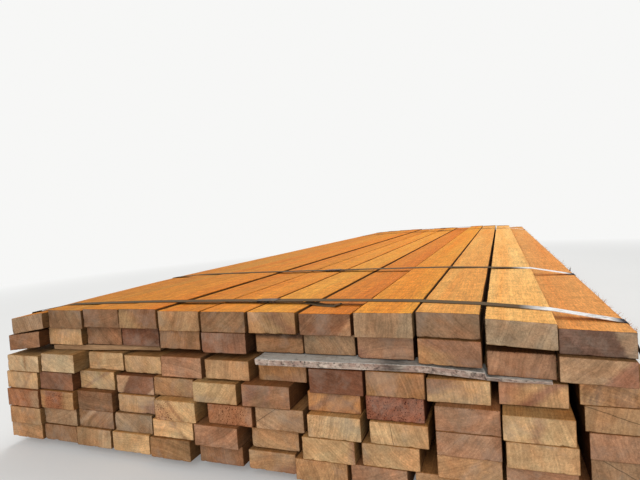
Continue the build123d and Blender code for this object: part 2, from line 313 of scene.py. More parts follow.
def makeEndGrain():
    look = endGrainSettings
    material, tree, shader = newMaterial("endGrain")
    coord = attribute(tree, "grainCoord")
    saw, pores, check = split(tree, "traits")
    grain = grainOf(tree, coord, look)
    sawn = sawnOf(tree, coord, look)
    speckle = noise(tree, coord, 950.0, 3.0, 0.8)

    colour = tinted(tree, grain["Bands"], attribute(tree, "endTone", "Color"), look["redTint"])
    colour = vary(tree, colour, grain["Rings"], look["ringLight"])
    colour = vary(tree, colour, grain["Mottle"], look["mottleLight"])
    colour = vary(tree, colour, noise(tree, coord, 19.0, 2.0), look["cloudLight"], (0.3, 0.7))
    amount = times(tree, times(tree, sawn["Depth"], saw), look["sawLight"])
    lines = mathNode(tree, "SUBTRACT", sawn["Lines"], 0.5)
    colour = shade(tree, colour, mathNode(tree, "MULTIPLY_ADD", lines, amount, 1.0))
    openPores = times(tree, grain["Pores"], pores)
    colour = tinted(tree, openPores, colour, look["poreTint"])
    flat = stretch(tree, coord, look["flatten"])
    colour = vary(tree, colour, noise(tree, flat, 330.0, 4.0, 0.8), look["gritLight"], (0.28, 0.72))
    # open dark vessels on some ends, in crowds
    crowd = remap(tree, noise(tree, flat, 55.0, 3.0), 0.34, 0.50)
    vessels = times(tree, remap(tree, dots(tree, flat, look["vesselScale"]), 0.36, 0.20), crowd)
    many = mathNode(tree, "SUBTRACT", pores, look["vesselsFrom"], clamp=True)
    colour = tinted(tree, times(tree, vessels, many), colour, look["vesselTint"])
    colour = vary(tree, colour, speckle, look["speckleLight"], (0.25, 0.75))
    # checks, as wandering lines
    shift = remap(tree, noise(tree, coord, 60.0, 3.0), 0.0, 1.0, -2.5, 2.5)
    away = mathNode(tree, "ABSOLUTE", mathNode(tree, "ADD", check, shift))
    whole = mathNode(tree, "COMPARE", check, noCheck, 0.0001)
    opened = times(tree, remap(tree, away, 1.4, 0.3), mathNode(tree, "SUBTRACT", 1.0, whole))
    colour = vary(tree, colour, opened, look["checkLight"])
    dusty = mixColour(tree, 0.45, colour, look["dust"])
    colour = mixColour(tree, times(tree, grimeOf(tree, coord, 16.0, 0.55), 0.55), colour, dusty)
    # painted shade along the arrises of the ends, mixed with dirt on their rims
    colour = tinted(tree, times(tree, wearAndShadingOf(tree, coord, 0.55), 0.8), colour, look["arrisTint"])

    height = mathNode(tree, "MULTIPLY_ADD", sawn["Lines"], times(tree, sawn["Depth"], 0.8), speckle)
    height = mathNode(tree, "SUBTRACT", height, times(tree, openPores, 0.9))
    height = mathNode(tree, "MULTIPLY_ADD", grain["Rings"], 0.4, height)
    roughness = remap(tree, speckle, 0.0, 1.0, *look["roughness"])
    dress(tree, shader, colour, roughness, look["specular"], height, 0.55, look["bump"])
    return material


sawnFaceSettings = dict(
    ringWidth=6.2 * mm, wobble=4.5 * mm, sawPitch=3.6 * mm, sawAlong=(0.05, 1.0, 0.0),
    fuzz=(1.0, 0.22, 1.0), damp=(1.0, 0.25, 1.0),       # both are drawn out along the board
    crossMarks=(24.0, 52.0, 24.0), tornFibres=(230.0, 26.0, 230.0),
    ringLight=(1.12, 0.84), mottleLight=(0.90, 1.10), fibreLight=(0.88, 1.11), sawLight=(0.76, 1.24),
    fuzzLight=(0.55, 1.45), crossLight=(0.84, 1.15), tornLight=(0.80, 1.19),
    redTint=(1.0, 0.74, 0.52), poreTint=(0.55, 0.42, 0.34), dampTint=(0.66, 0.58, 0.52),
    # arrisTint lightens the arrises of the faces, as a painted highlight
    arrisTint=(1.22, 1.16, 1.05),
    roughness=(0.7, 0.9), specular=0.1, bump=0.6 * mm,
)


def makeSawnFace():
    look = sawnFaceSettings
    material, tree, shader = newMaterial("sawnFace")
    coord = attribute(tree, "grainCoord")
    grain = grainOf(tree, coord, look)
    sawn = sawnOf(tree, coord, look)
    fuzz = noise(tree, stretch(tree, coord, look["fuzz"]), 430.0, 5.0, 0.85)

    colour = tinted(tree, grain["Bands"], attribute(tree, "faceTone", "Color"), look["redTint"])
    colour = vary(tree, colour, grain["Rings"], look["ringLight"])
    colour = vary(tree, colour, grain["Mottle"], look["mottleLight"])
    colour = vary(tree, colour, grain["Fibre"], look["fibreLight"])
    colour = vary(tree, colour, sawn["Lines"], look["sawLight"], strength=sawn["Depth"])
    colour = vary(tree, colour, fuzz, look["fuzzLight"], (0.25, 0.75))
    # marks across the board and torn fibres along it, large enough to be seen from afar
    crossed = noise(tree, stretch(tree, coord, look["crossMarks"]), 1.0, 3.0, 0.7)
    colour = vary(tree, colour, crossed, look["crossLight"], (0.3, 0.7))
    torn = noise(tree, stretch(tree, coord, look["tornFibres"]), 1.0, 3.0, 0.75)
    colour = vary(tree, colour, torn, look["tornLight"], (0.3, 0.7))
    colour = tinted(tree, times(tree, grain["Pores"], 0.35), colour, look["poreTint"])
    damp = grimeOf(tree, stretch(tree, coord, look["damp"]), 7.0, 0.35)
    colour = tinted(tree, times(tree, damp, 0.4), colour, look["dampTint"])
    # painted highlight along the arrises of the faces
    colour = tinted(tree, times(tree, wearAndShadingOf(tree, coord, 0.6), 0.5), colour, look["arrisTint"])

    height = mathNode(tree, "MULTIPLY_ADD", sawn["Lines"], times(tree, sawn["Depth"], 0.7), fuzz)
    height = mathNode(tree, "MULTIPLY_ADD", grain["Fibre"], 0.6, height)
    roughness = remap(tree, fuzz, 0.0, 1.0, *look["roughness"])
    dress(tree, shader, colour, roughness, look["specular"], height, 0.6, look["bump"])
    return material


oldWoodSettings = dict(
    ringWidth=4.5 * mm, wobble=3.0 * mm, drawnOut=(1.0, 0.12, 1.0), holeRim=(1.2 * mm, 2.0 * mm),
    sootLight=(1.0, 0.22), fibreLight=(0.78, 1.15), holeLight=(0.08, 1.0),
    roughness=(0.88, 0.76), specular=0.25, bump=0.7 * mm,
)


def makeOldWood(name, pale, dark, stain, cover, holes=()):
    # a strip that lay outside for a long time: bleached fibres, dark runs and stains, nail holes
    look = oldWoodSettings
    material, tree, shader = newMaterial(name)
    coord = attribute(tree, "grainCoord")
    soot = split(tree, "traits")[0]
    grain = grainOf(tree, coord, look)
    drawn = stretch(tree, coord, look["drawnOut"])
    streaks = remap(tree, noise(tree, drawn, 260.0, 5.0, 0.75), 0.3, 0.7)
    runs = remap(tree, noise(tree, drawn, 75.0, 4.0, 0.7, 0.5), 0.42, 0.66)
    colour = mixColour(tree, streaks, dark, pale)
    colour = mixColour(tree, times(tree, runs, 0.45), colour, dark)
    colour = mixColour(tree, times(tree, grimeOf(tree, coord, 42.0, cover), 0.7), colour, stain)
    ragged = remap(tree, noise(tree, drawn, 150.0, 4.0, 0.7), 0.3, 0.6)
    spots = grimeOf(tree, coord, 130.0, cover * 0.75)
    black = mathNode(tree, "MAXIMUM", spots, times(tree, soot, ragged))
    colour = vary(tree, colour, black, look["sootLight"])
    colour = vary(tree, colour, grain["Fibre"], look["fibreLight"])
    for place in holes:
        flat = stretch(tree, coord, (0.0, 1.0, 1.0))
        away = addNode(tree, "ShaderNodeVectorMath", {0: flat, 1: place},
                       operation="DISTANCE").outputs["Value"]
        colour = vary(tree, colour, away, look["holeLight"], look["holeRim"])
    colour = mixColour(tree, times(tree, wearAndShadingOf(tree, coord, 0.7), 0.5), colour, pale)
    height = mathNode(tree, "MULTIPLY_ADD", streaks, 1.4, grain["Fibre"])
    roughness = remap(tree, streaks, 0.0, 1.0, *look["roughness"])
    dress(tree, shader, colour, roughness, look["specular"], height, 0.7, look["bump"])
    return material


strappingSettings = dict(
    # dark is the band's own dark tone, browned as painted reflection of the wood around it; bright is a
    # painted glint
    dark=(0.098, 0.066, 0.033), darkBlue=(0.020, 0.026, 0.040), bright=(0.86, 0.86, 0.85),
    rust=(0.16, 0.075, 0.032),
    glint=(0.475, 0.530),      # where across the stack the painted glint on the band starts, and where it is full
    darkBlueReach=(0.600, 0.620),      # and where the dark blue band by its right edge starts
    drawn=(6.0, 700.0, 700.0), drawnLight=(0.75, 1.25),
    metal=(0.05, 1.0), roughness=(0.8, 0.3), specular=0.08, bump=0.2 * mm,
)


def makeStrapping():
    # cold rolled band: dark and dull, rusting in specks, its brown partly painted reflection of the wood;
    # towards the right edge a painted glint, more metallic and smoother, then dark blue by the edge
    look = strappingSettings
    material, tree, shader = newMaterial("strapping")
    coord = addNode(tree, "ShaderNodeTexCoord").outputs["Object"]
    drawn = noise(tree, stretch(tree, coord, look["drawn"]), 1.0, 4.0, 0.7)
    across = addNode(tree, "ShaderNodeSeparateXYZ", {0: coord}).outputs[0]
    darkBlue = remap(tree, across, *look["darkBlueReach"])
    # painted glint towards the right edge, broken up by noise and stopped by the dark blue band; it also
    # makes the band metallic and smoother there
    glint = times(tree, remap(tree, across, *look["glint"]), mathNode(tree, "SUBTRACT", 1.0, darkBlue))
    shine = times(tree, glint, remap(tree, noise(tree, coord, 22.0, 4.0, 0.65), 0.26, 0.42))
    colour = mixColour(tree, shine, mixColour(tree, darkBlue, look["dark"], look["darkBlue"]), look["bright"])
    colour = vary(tree, colour, drawn, look["drawnLight"], (0.25, 0.75))
    broad, specks = grimeOf(tree, coord, 60.0, 0.5), grimeOf(tree, coord, 330.0, 0.35)
    rusty = mathNode(tree, "MAXIMUM", times(tree, broad, 0.7), specks)
    colour = mixColour(tree, times(tree, rusty, 0.75), colour, look["rust"])
    metal = times(tree, remap(tree, shine, 0.0, 1.0, *look["metal"]), remap(tree, rusty, 0.0, 1.0, 1.0, 0.3))
    feed(tree, shader.inputs["Metallic"], metal)
    roughness = mathNode(tree, "MULTIPLY_ADD", rusty, 0.2, remap(tree, shine, 0.0, 1.0, *look["roughness"]))
    dress(tree, shader, colour, roughness, look["specular"], noise(tree, coord, 420.0, 3.0, 0.7), 0.25,
          look["bump"])
    return material


sealSteelSettings = dict(
    dark=(0.020, 0.017, 0.013), pale=(0.055, 0.045, 0.032), rust=(0.22, 0.09, 0.035), fineLight=(0.8, 1.2),
    metal=(0.25, 0.05), roughness=(0.55, 0.85), specular=0.15, bump=0.3 * mm,
)


def makeSealSteel():
    # the crimped seal, thicker and duller than the band
    look = sealSteelSettings
    material, tree, shader = newMaterial("sealSteel")
    coord = addNode(tree, "ShaderNodeTexCoord").outputs["Object"]
    fine = noise(tree, coord, 900.0, 3.0, 0.7)
    cloud = remap(tree, noise(tree, coord, 90.0, 4.0, 0.7), 0.35, 0.65)
    rust = grimeOf(tree, coord, 120.0, 0.55)
    colour = mixColour(tree, cloud, look["dark"], look["pale"])
    colour = mixColour(tree, times(tree, rust, 0.8), colour, look["rust"])
    colour = vary(tree, colour, fine, look["fineLight"], (0.2, 0.8))
    feed(tree, shader.inputs["Metallic"], remap(tree, rust, 0.0, 1.0, *look["metal"]))
    roughness = remap(tree, rust, 0.0, 1.0, *look["roughness"])
    dress(tree, shader, colour, roughness, look["specular"], fine, 0.3, look["bump"])
    return material


# The weathered strip: places along it of its nail holes, with their height, and of its sooty patches,
# with their reach
rightStrip = dict(grainStart=40.0, holes=((0.092, 0.0108), (0.100, 0.0104), (0.155, 0.0110)),
                  soot=((0.258, 0.024), (0.414, 0.010)), alongStep=7 * mm)
stripHeart = (0.08, 0.05)       # how far to the side of a strip and below it the heart of its tree lay

endGrain = makeEndGrain()
sawnFace = makeSawnFace()
weatheredTop = makeOldWood("weatheredTop", (0.76, 0.74, 0.68), (0.36, 0.33, 0.29), (0.34, 0.27, 0.22), 0.50)
nailHoles = [(0.0, rightStrip["grainStart"] + along, stripHeart[1] + height)
             for along, height in rightStrip["holes"]]
weatheredFront = makeOldWood("weatheredFront", (0.80, 0.67, 0.55), (0.32, 0.23, 0.18), (0.30, 0.17, 0.13),
                             0.78, nailHoles)
tanStrip = makeOldWood("tanStrip", (0.50, 0.30, 0.15), (0.26, 0.14, 0.07), (0.20, 0.11, 0.06), 0.3)
brownStrip = makeOldWood("brownStrip", (0.26, 0.18, 0.12), (0.09, 0.055, 0.035), (0.12, 0.075, 0.05), 0.5)
strapping = makeStrapping()
sealSteel = makeSealSteel()
print("materials made")


# Sawn pieces: boards, stickers and spacers

def islands(mesh):
    # the separate solids of a node, each as an array of its corners: x, y, z, and whether a corner
    # is on a side that looks down or up
    level = 0.9     # how upright the normal of such a side is
    work = bmesh.new()
    work.from_mesh(mesh)
    bmesh.ops.remove_doubles(work, verts=work.verts, dist=0.01 * mm)
    work.normal_update()
    waiting = set(work.verts)
    found = []
    while waiting:
        reached = [waiting.pop()]
        solid = []
        while reached:
            vertex = reached.pop()
            looks = [face.normal.z for face in vertex.link_faces]
            solid.append((*vertex.co, min(looks) < -level, max(looks) > level))
            for edge in vertex.link_edges:
                other = edge.other_vert(vertex)
                if other in waiting:
                    waiting.remove(other)
                    reached.append(other)
        found.append(np.array(solid))
    work.free()
    return found


def layOut(corners):
    # origin, axes and size of a piece, first axis along it and third axis up, and its underside and
    # its top on both sides, as places along it and the heights there
    flat = corners[:, :2] - corners[:, :2].mean(0)
    values, vectors = np.linalg.eigh(flat.T @ flat)
    along = np.array([*vectors[:, 1], 0.0])
    if along[0] + along[1] < 0:
        along = -along
    up = np.array([0.0, 0.0, 1.0])
    axes = np.stack([along, np.cross(up, along), up])
    inside = corners[:, :3] @ axes.T
    low = inside.min(0)
    inside -= low
    size = inside.max(0)
    nearby, step = 5 * mm, 1 * mm
    lines = []
    for side in (inside[:, 1] < nearby, inside[:, 1] > size[1] - nearby):
        for looks in (corners[:, 3], corners[:, 4]):
            line = inside[side & (looks > 0)]
            line = line[np.argsort(line[:, 0])]
            stations = np.split(line, np.flatnonzero(np.diff(line[:, 0]) > step) + 1)
            lines.append(np.array([(station[:, 0].mean(), station[:, 2].mean()) for station in stations]).T)
    size[2] = lines[1][1][0] - lines[0][1][0]
    return low @ axes, axes, size, lines


def gridLines(length, step, wear):
    # grid lines along one side of a piece, close together beside its two arrises
    inner = max(2, round((length - 2 * wear) / step))
    middle = np.linspace(wear, length - wear, inner + 1)
    return np.concatenate([[0.0, wear * 0.4], middle, [length - wear * 0.4, length]])


def shell(us, vs, ws):
    # the surface of a box as a grid: points, quads and a number for the side that each quad is on
    size = (len(us), len(vs), len(ws))
    outside = np.zeros(size, bool)
    for axis in range(3):
        face = [slice(None)] * 3
        for end in (0, -1):
            face[axis] = end
            outside[tuple(face)] = True
    number = (np.cumsum(outside.ravel()) - 1).reshape(size)
    points = np.stack(np.meshgrid(us, vs, ws, indexing="ij"), -1)[outside]
    quads, sides = [], []
    for axis in range(3):
        for end in (0, -1):
            face = [slice(None)] * 3
            face[axis] = end
            sheet = number[tuple(face)]
            quad = np.stack([sheet[:-1, :-1], sheet[1:, :-1], sheet[1:, 1:], sheet[:-1, 1:]], -1)
            quad = quad.reshape(-1, 4)
            if (end == 0) == (axis != 1):
                quad = quad[:, ::-1]
            quads.append(quad)
            sides.append(np.full(len(quad), 2 * axis - end))
    return points, np.concatenate(quads), np.concatenate(sides)


def wander(places, random, waves, size):
    # a smooth uneven line: a few waves of chosen lengths, added up
    total = np.zeros_like(places)
    for wave in waves:
        total += np.sin(places * (fullTurn / wave) + random.uniform(0, fullTurn)) * random.uniform(0.5, 1.0)
    return total * size / len(waves)


def roundArrises(points, size, wear, endWear):
    # rounds every arris: across the piece by wear, at its ends by endWear
    scale = np.stack([np.full(len(points), endWear), wear, wear], -1)
    near = np.clip(1 - points / scale, 0, None)
    far = np.clip(1 - (size - points) / scale, 0, None)
    reach = near + far
    longest = reach.max(1, keepdims=True)
    length = np.maximum(np.linalg.norm(reach, axis=1, keepdims=True), 1e-9)
    pulled = reach * longest / length
    return points + (reach - pulled) * scale * np.where(near > 0, 1, -1)


pieceSettings = dict(           # what boards and strips share, in metres
    arrisWaves=(0.31, 0.083, 0.037),
    sideWaves=(2.3, 0.71, 0.19),
    ridgeWaves=(0.0131, 0.0212, 0.047),
    edgeReach=1.4 * mm,         # how far from an arris its wear, painted shade and painted highlight show
    sink=0.5 * mm,              # how far the underside keeps off what the piece lies on
    rim=0.2 * mm,
    chipDepth=(0.5 * mm, 1.6 * mm),
    chipReach=(3 * mm, 8 * mm),
)


def cutEnds(shaped, points, size, shareV, shareW, gaps, random, endSlope, endRidges, chips):
    # sawn ends: a little out of square, ridged, chipped along their rims
    look = pieceSettings
    slope = random.uniform(-1, 1, 4) * endSlope
    for end, sign in ((0, 1), (1, -1)):
        here = points[:, 0] < 1e-9 if end == 0 else points[:, 0] > size[0] - 1e-9
        tilt = slope[2 * end] * (shareV - 0.5) + slope[2 * end + 1] * 0.4 * (shareW - 0.5)
        tilt += (abs(slope[2 * end]) + 0.4 * abs(slope[2 * end + 1])) / 2
        ridge = np.abs(wander(points[:, 1] + 0.35 * points[:, 2], random, look["ridgeWaves"], endRidges))
        ridge += random.uniform(0, 0.35 * endRidges, len(points))
        shaped[:, 0] += sign * np.where(here, tilt + ridge, 0)
        rim = np.flatnonzero(here & (gaps[:, 1] < look["rim"]))
        for chip in random.choice(rim, chips, replace=False):
            away = np.linalg.norm(points - points[chip], axis=1)
            depth = random.uniform(*look["chipDepth"])
            bite = depth * np.clip(1 - away / random.uniform(*look["chipReach"]), 0, None)
            shaped[:, 0] += sign * bite
            shaped[:, 2] -= 0.5 * bite * np.where(shareW > 0.5, 1, -1)


def sawnPiece(corners, random, step, alongStep, wear, endWear, sideWander, endSlope, endRidges, chips):
    # points, quads, sides and edge distance of one sawn piece, in the stack's own frame, and its plain points
    look = pieceSettings
    origin, axes, size, lines = layOut(corners)
    us = gridLines(size[0], alongStep, wear[1])
    us = np.sort(np.concatenate([us, *(places[1:-1] for places, heights in lines)]))
    us = us[np.append(True, np.diff(us) > 0.3 * mm)]
    points, quads, sides = shell(us, gridLines(size[1], step, wear[1]), gridLines(size[2], step, wear[1]))
    u, v, w = points.T
    gaps = np.sort(np.minimum(points, size - points), 1)
    edge = np.exp(-gaps[:, 1] / look["edgeReach"])
    uneven = 0.5 + wander(u + 3 * v, random, look["arrisWaves"], 0.9)
    worn = np.clip(wear[0] + (wear[1] - wear[0]) * uneven, wear[0] * 0.6, wear[1])
    shaped = roundArrises(points, size, worn, endWear)
    # the long sides wander inwards a little, never out
    drift = [np.abs(wander(u, random, look["sideWaves"], sideWander)) for side in range(4)]
    shareV, shareW = v / size[1], w / size[2]
    shaped[:, 1] += drift[0] * (1 - shareV) - drift[1] * shareV
    shaped[:, 2] += (look["sink"] + drift[2]) * (1 - shareW) - drift[3] * shareW
    cutEnds(shaped, points, size, shareV, shareW, gaps, random, endSlope, endRidges, chips)
    # the piece follows its solid's underside and top
    right, left = ([np.interp(u, *line) for line in pair] for pair in (lines[:2], lines[2:]))
    lower, upper = (right[k] * (1 - shareV) + left[k] * shareV for k in (0, 1))
    shaped[:, 2] = lower + shaped[:, 2] * (upper - lower) / size[2]
    return origin + shaped @ axes, quads, sides, edge, points


def joinPieces(name, made, materials):
    # one mesh from many sawn pieces, with their colours and grain as attributes
    offset = np.cumsum([0] + [len(piece["points"]) for piece in made])
    points = np.concatenate([piece["points"] for piece in made])
    quads = np.concatenate([piece["quads"] + start for piece, start in zip(made, offset)])
    slots = np.concatenate([piece["slots"] for piece in made])
    mesh = bpy.data.meshes.new(name)
    mesh.from_pydata(points.tolist(), [], quads.tolist())
    for material in materials:
        mesh.materials.append(material)
    mesh.polygons.foreach_set("material_index", slots.astype(np.int32))
    mesh.polygons.foreach_set("use_smooth", np.ones(len(quads), bool))
    for label, kind, field in (("grainCoord", "FLOAT_VECTOR", "vector"), ("edge", "FLOAT", "value"),
                               ("endTone", "FLOAT_COLOR", "color"), ("faceTone", "FLOAT_COLOR", "color"),
                               ("traits", "FLOAT_COLOR", "color")):
        values = np.concatenate([piece[label] for piece in made]).astype(np.float32)
        mesh.attributes.new(label, kind, "POINT").data.foreach_set(field, values.ravel())
    mesh.update()
    return linked(name, mesh)


def linked(name, mesh):
    piece = bpy.data.objects.new(name, mesh)
    bpy.context.scene.collection.objects.link(piece)
    return piece


def everywhere(colour, count):
    return np.tile(np.array([*colour[:3], 1.0]), (count, 1))


# Boards

boardSettings = dict(
    step=4.2 * mm,              # grid of the sawn ends
    alongStep=170 * mm,         # stations along the boards
    wear=(0.8 * mm, 1.9 * mm),  # how round the arrises are
    endWear=0.5 * mm,
    sideWander=0.8 * mm,
    endSlope=1.2 * mm,          # how far out of square an end is cut
    endRidges=0.22 * mm,
    chips=7,
)
topStep = 52 * mm               # stations along the boards of the highest layer
boardSeed = 1000
heartReach = (0.17, 0.36)       # how far from a board the heart of its tree lay
heartAlong = 40                 # boards are cut from this length of grain

# The woods, as they look on the near end: tone, strength of the saw lines, and pores
woods = dict(
    i=((0.500, 0.375, 0.220), 0.6, 0.15),     # cream
    y=((0.500, 0.335, 0.168), 0.6, 0.20),     # pale yellow
    b=((0.600, 0.400, 0.200), 0.6, 0.20),     # bright yellow
    p=((0.440, 0.290, 0.148), 0.6, 0.25),     # pale
    s=((0.520, 0.365, 0.195), 1.6, 0.45),     # pale with strong saw lines
    t=((0.375, 0.232, 0.118), 0.6, 0.35),     # tan
    j=((0.500, 0.252, 0.102), 0.6, 0.30),     # bright orange
    o=((0.375, 0.212, 0.095), 0.6, 0.35),     # orange
    w=((0.450, 0.270, 0.130), 1.8, 0.35),     # orange with strong saw lines
    l=((0.355, 0.240, 0.140), 0.7, 0.25),     # light grey tan
    g=((0.300, 0.205, 0.120), 0.7, 0.30),     # grey tan
    n=((0.308, 0.228, 0.142), 0.7, 0.30),     # grey
    f=((0.250, 0.158, 0.092), 0.6, 0.35),     # grey brown
    v=((0.310, 0.185, 0.088), 0.6, 0.35),     # light brown
    h=((0.262, 0.150, 0.076), 0.6, 0.35),     # brown
    u=((0.212, 0.130, 0.070), 0.6, 0.35),     # olive brown
    k=((0.340, 0.195, 0.113), 0.6, 0.35),     # pink
    e=((0.340, 0.165, 0.082), 0.5, 0.60),     # orange red
    r=((0.248, 0.137, 0.073), 0.5, 0.40),     # red brown
    a=((0.212, 0.112, 0.067), 0.5, 0.30),     # dark red brown
    q=((0.195, 0.107, 0.060), 0.4, 0.30),     # dark brown
    m=((0.172, 0.076, 0.042), 0.3, 0.20),     # plain dark brown
    d=((0.145, 0.088, 0.062), 0.8, 0.35),     # dark, nearly purple
    c=((0.236, 0.092, 0.052), 0.5, 1.60),     # dark red with open pores
)
# The wood of each board, row by row from the top; the two highest rows are given darker woods than their own,
# as painted shade
rowWoods = ["gurvtuvqgfnd", "rprmhahgkvkl", "iippktomhypw", "payatyrjckyt",
            "eorpbelspkpk", "tghgbktyptkg", "thtbvrtwkttk"]
# The tops of the highest layer: their own amber tone, brightened and warmed as painted sunlight
topTones = [(0.52, 0.210, 0.028), (0.50, 0.220, 0.034), (0.56, 0.230, 0.028), (0.60, 0.225, 0.024),
            (0.58, 0.220, 0.024), (0.66, 0.270, 0.032), (0.68, 0.300, 0.040), (0.60, 0.205, 0.022),
            (0.70, 0.300, 0.034), (0.72, 0.360, 0.090), (0.84, 0.490, 0.160), (0.72, 0.340, 0.100)]
sideShares = (0.80, 0.70, 0.55)     # the tone of a board's sides, as shares of the tone of its end: their own tone, darkened further as painted shade
shadedSides = {2: 0.6}              # how much darker the sides of a row's boards are, as painted shade
gapShade = 0.55                      # and the sides in the gaps between boards, as painted shade

# Sapwood, stains and speckled places on some ends, and one painted shadow, by row and place in it. Each is a
# band: its slant in degrees from upright (leaning to the left at the top if positive), where along the end it
# starts and stops (0 is the left side, 1 the right side), how soft its rims are, and its tone
before, past = -99.0, 99.0          # a band that starts before the end, or stops past it
streaks = {
    (1, 1): [(40, 0.52, past, 0.30, (0.340, 0.240, 0.150))],
    (1, 4): [(45, 0.45, past, 0.30, (0.225, 0.128, 0.072))],
    (1, 7): [(45, 0.26, 0.34, 0.10, (0.360, 0.230, 0.125)), (45, 0.55, 0.85, 0.20, (0.240, 0.130, 0.070))],
    (1, 8): [(50, 0.02, 0.24, 0.16, (0.185, 0.092, 0.048)), (-35, 0.90, past, 0.06, (0.340, 0.215, 0.120))],
    (1, 11): [(-38, 0.62, 0.80, 0.12, (0.375, 0.262, 0.160))],
    (1, 12): [(22, 0.80, past, 0.04, (0.315, 0.225, 0.145)), (42, 0.20, 0.26, 0.06, (0.225, 0.135, 0.098))],
    (2, 1): [(20, 0.70, past, 0.30, (0.290, 0.175, 0.100))],
    (2, 3): [(35, 0.30, 0.40, 0.20, (0.330, 0.200, 0.115))],
    (2, 5): [(-50, 0.70, 0.95, 0.20, (0.250, 0.140, 0.070))],
    # painted shadow of the overhanging board above, along the top arris of this end
    (2, 7): [(89, 5.9, past, 2.0, (0.060, 0.036, 0.022))],      # a level band along the top arris
    (2, 9): [(50, before, 0.02, 0.20, (0.240, 0.140, 0.092))],
    (2, 10): [(58, 0.30, past, 0.40, (0.235, 0.128, 0.074))],
    (2, 12): [(-44, 0.74, past, 0.10, (0.285, 0.155, 0.098))],
    (3, 1): [(4, 0.52, 0.60, 0.06, (0.350, 0.215, 0.108))],
    (3, 7): [(-60, 0.80, past, 0.30, (0.320, 0.185, 0.100))],
    (3, 9): [(-62, 0.30, 0.50, 0.16, (0.300, 0.158, 0.066)), (-62, 1.05, past, 0.25, (0.300, 0.158, 0.068))],
    (3, 10): [(-58, before, 0.22, 0.30, (0.330, 0.190, 0.108))],
    (3, 11): [(-52, 0.50, 0.74, 0.18, (0.262, 0.148, 0.092)),
              (-40, before, 0.25, 0.30, (0.385, 0.222, 0.132))],
    (3, 12): [(25, 0.32, 0.72, 0.30, (0.410, 0.230, 0.110)),
              *((6, place, place + 0.035, 0.04, (0.265, 0.142, 0.070))
                for place in (0.03, 0.11, 0.20, 0.27, 0.36, 0.45, 0.52, 0.62, 0.72, 0.84))],
    (4, 1): [(-30, 0.62, 0.70, 0.06, (0.330, 0.205, 0.110))],
    (4, 2): [(-48, 0.80, past, 0.30, (0.255, 0.135, 0.078))],
    (4, 3): [(-62, 0.40, 0.52, 0.10, (0.330, 0.205, 0.118))],
    (4, 4): [(-31, before, 0.25, 0.04, (0.420, 0.285, 0.170)),
             (-55, 1.08, past, 0.05, (0.420, 0.290, 0.190))],
    (4, 7): [(-28, 0.04, 0.26, 0.12, (0.262, 0.142, 0.088)), (-28, 0.50, 0.58, 0.08, (0.290, 0.160, 0.096))],
    (4, 8): [(-56, 0.20, 0.42, 0.12, (0.300, 0.162, 0.088)), (48, 0.72, 0.80, 0.08, (0.310, 0.168, 0.092))],
    (4, 10): [(-36, 0.76, 0.81, 0.05, (0.400, 0.245, 0.150))],
    (4, 11): [(-8, 0.42, 0.56, 0.12, (0.340, 0.198, 0.104))],
    (5, 1): [(0, 0.80, past, 0.20, (0.410, 0.262, 0.150))],
    (5, 2): [(-5, 0.14, 0.66, 0.12, (0.330, 0.140, 0.066)), (-8, 0.76, past, 0.10, (0.450, 0.275, 0.132))],
    (5, 4): [(-42, 0.75, past, 0.40, (0.270, 0.162, 0.108))],
    (5, 5): [(40, 0.44, 0.52, 0.08, (0.330, 0.180, 0.092)), (30, before, 0.30, 0.20, (0.480, 0.290, 0.150))],
    (5, 10): [(-50, 0.22, 0.32, 0.14, (0.370, 0.232, 0.142))],
    (6, 3): [(-56, 0.08, 0.26, 0.10, (0.410, 0.275, 0.168))],
    (6, 5): [(40, 0.60, 0.68, 0.10, (0.330, 0.195, 0.100))],
    (6, 8): [(0, 0.92, past, 0.10, (0.290, 0.170, 0.100))],
    (6, 10): [(-40, 0.50, 0.56, 0.06, (0.410, 0.270, 0.160))],
    (7, 3): [(-5, 0.65, past, 0.05, (0.440, 0.300, 0.170))],
    (7, 7): [(-62, 0.90, past, 0.30, (0.320, 0.185, 0.108))],
}
# The same for places with stronger saw lines or more pores, with those two in place of a tone
speckles = {
    (3, 5): [(20, before, 0.35, 0.20, (0.5, 0.8, 0))],
    (5, 1): [(0, 0.30, 0.65, 0.20, (0.5, 1.0, 0))],
    (5, 2): [(-5, 0.12, 0.72, 0.12, (0.4, 2.6, 0))],
    (5, 5): [(15, before, 0.34, 0.12, (0.4, 2.6, 0))],
    (5, 6): [(10, 0.20, 0.90, 0.30, (0.5, 2.0, 0))],
    (5, 8): [(0, before, 0.45, 0.30, (1.7, 0.9, 0))],
}
# Checks: a thin dark line across an end, through a place on it (from its left side and its middle
# height, as shares) and at a slant, and how wide it is
checks = {
    (4, 12): (0.62, 0.0, 72, 0.8 * mm),
    (5, 7): (0.20, 0.1, -56, 0.7 * mm),
    (5, 9): (0.38, 0.0, 8, 0.7 * mm),
    (6, 12): (0.50, 0.0, 60, 0.7 * mm),
    (1, 8): (0.20, 0.0, -50, 0.3 * mm),
}
rimWaves = (0.031, 0.013)


def paint(tones, plain, random, slant, start, stop, rim, tone):
    # mixes another tone into an end along a slanting band with soft, uneven rims
    size = plain.max(0)
    across = 1 - plain[:, 1] / size[1]
    level = across + math.tan(math.radians(slant)) * (plain[:, 2] - size[2] / 2) / size[1]
    level += wander(plain[:, 2], random, rimWaves, 0.35 * rim)
    share = np.clip((level - start) / rim + 0.5, 0, 1) * np.clip((stop - level) / rim + 0.5, 0, 1)
    tones[:, :3] += (np.array(tone) - tones[:, :3]) * share[:, None]


def checkDistance(plain, start, height, slant, width):
    # distance from a check's line, in widths of the check, with a sign
    size = plain.max(0)
    turned = math.radians(slant)
    across = size[1] * (1 - start) - plain[:, 1]
    up = plain[:, 2] - size[2] * (0.5 + height)
    return (across * math.cos(turned) + up * math.sin(turned)) / width


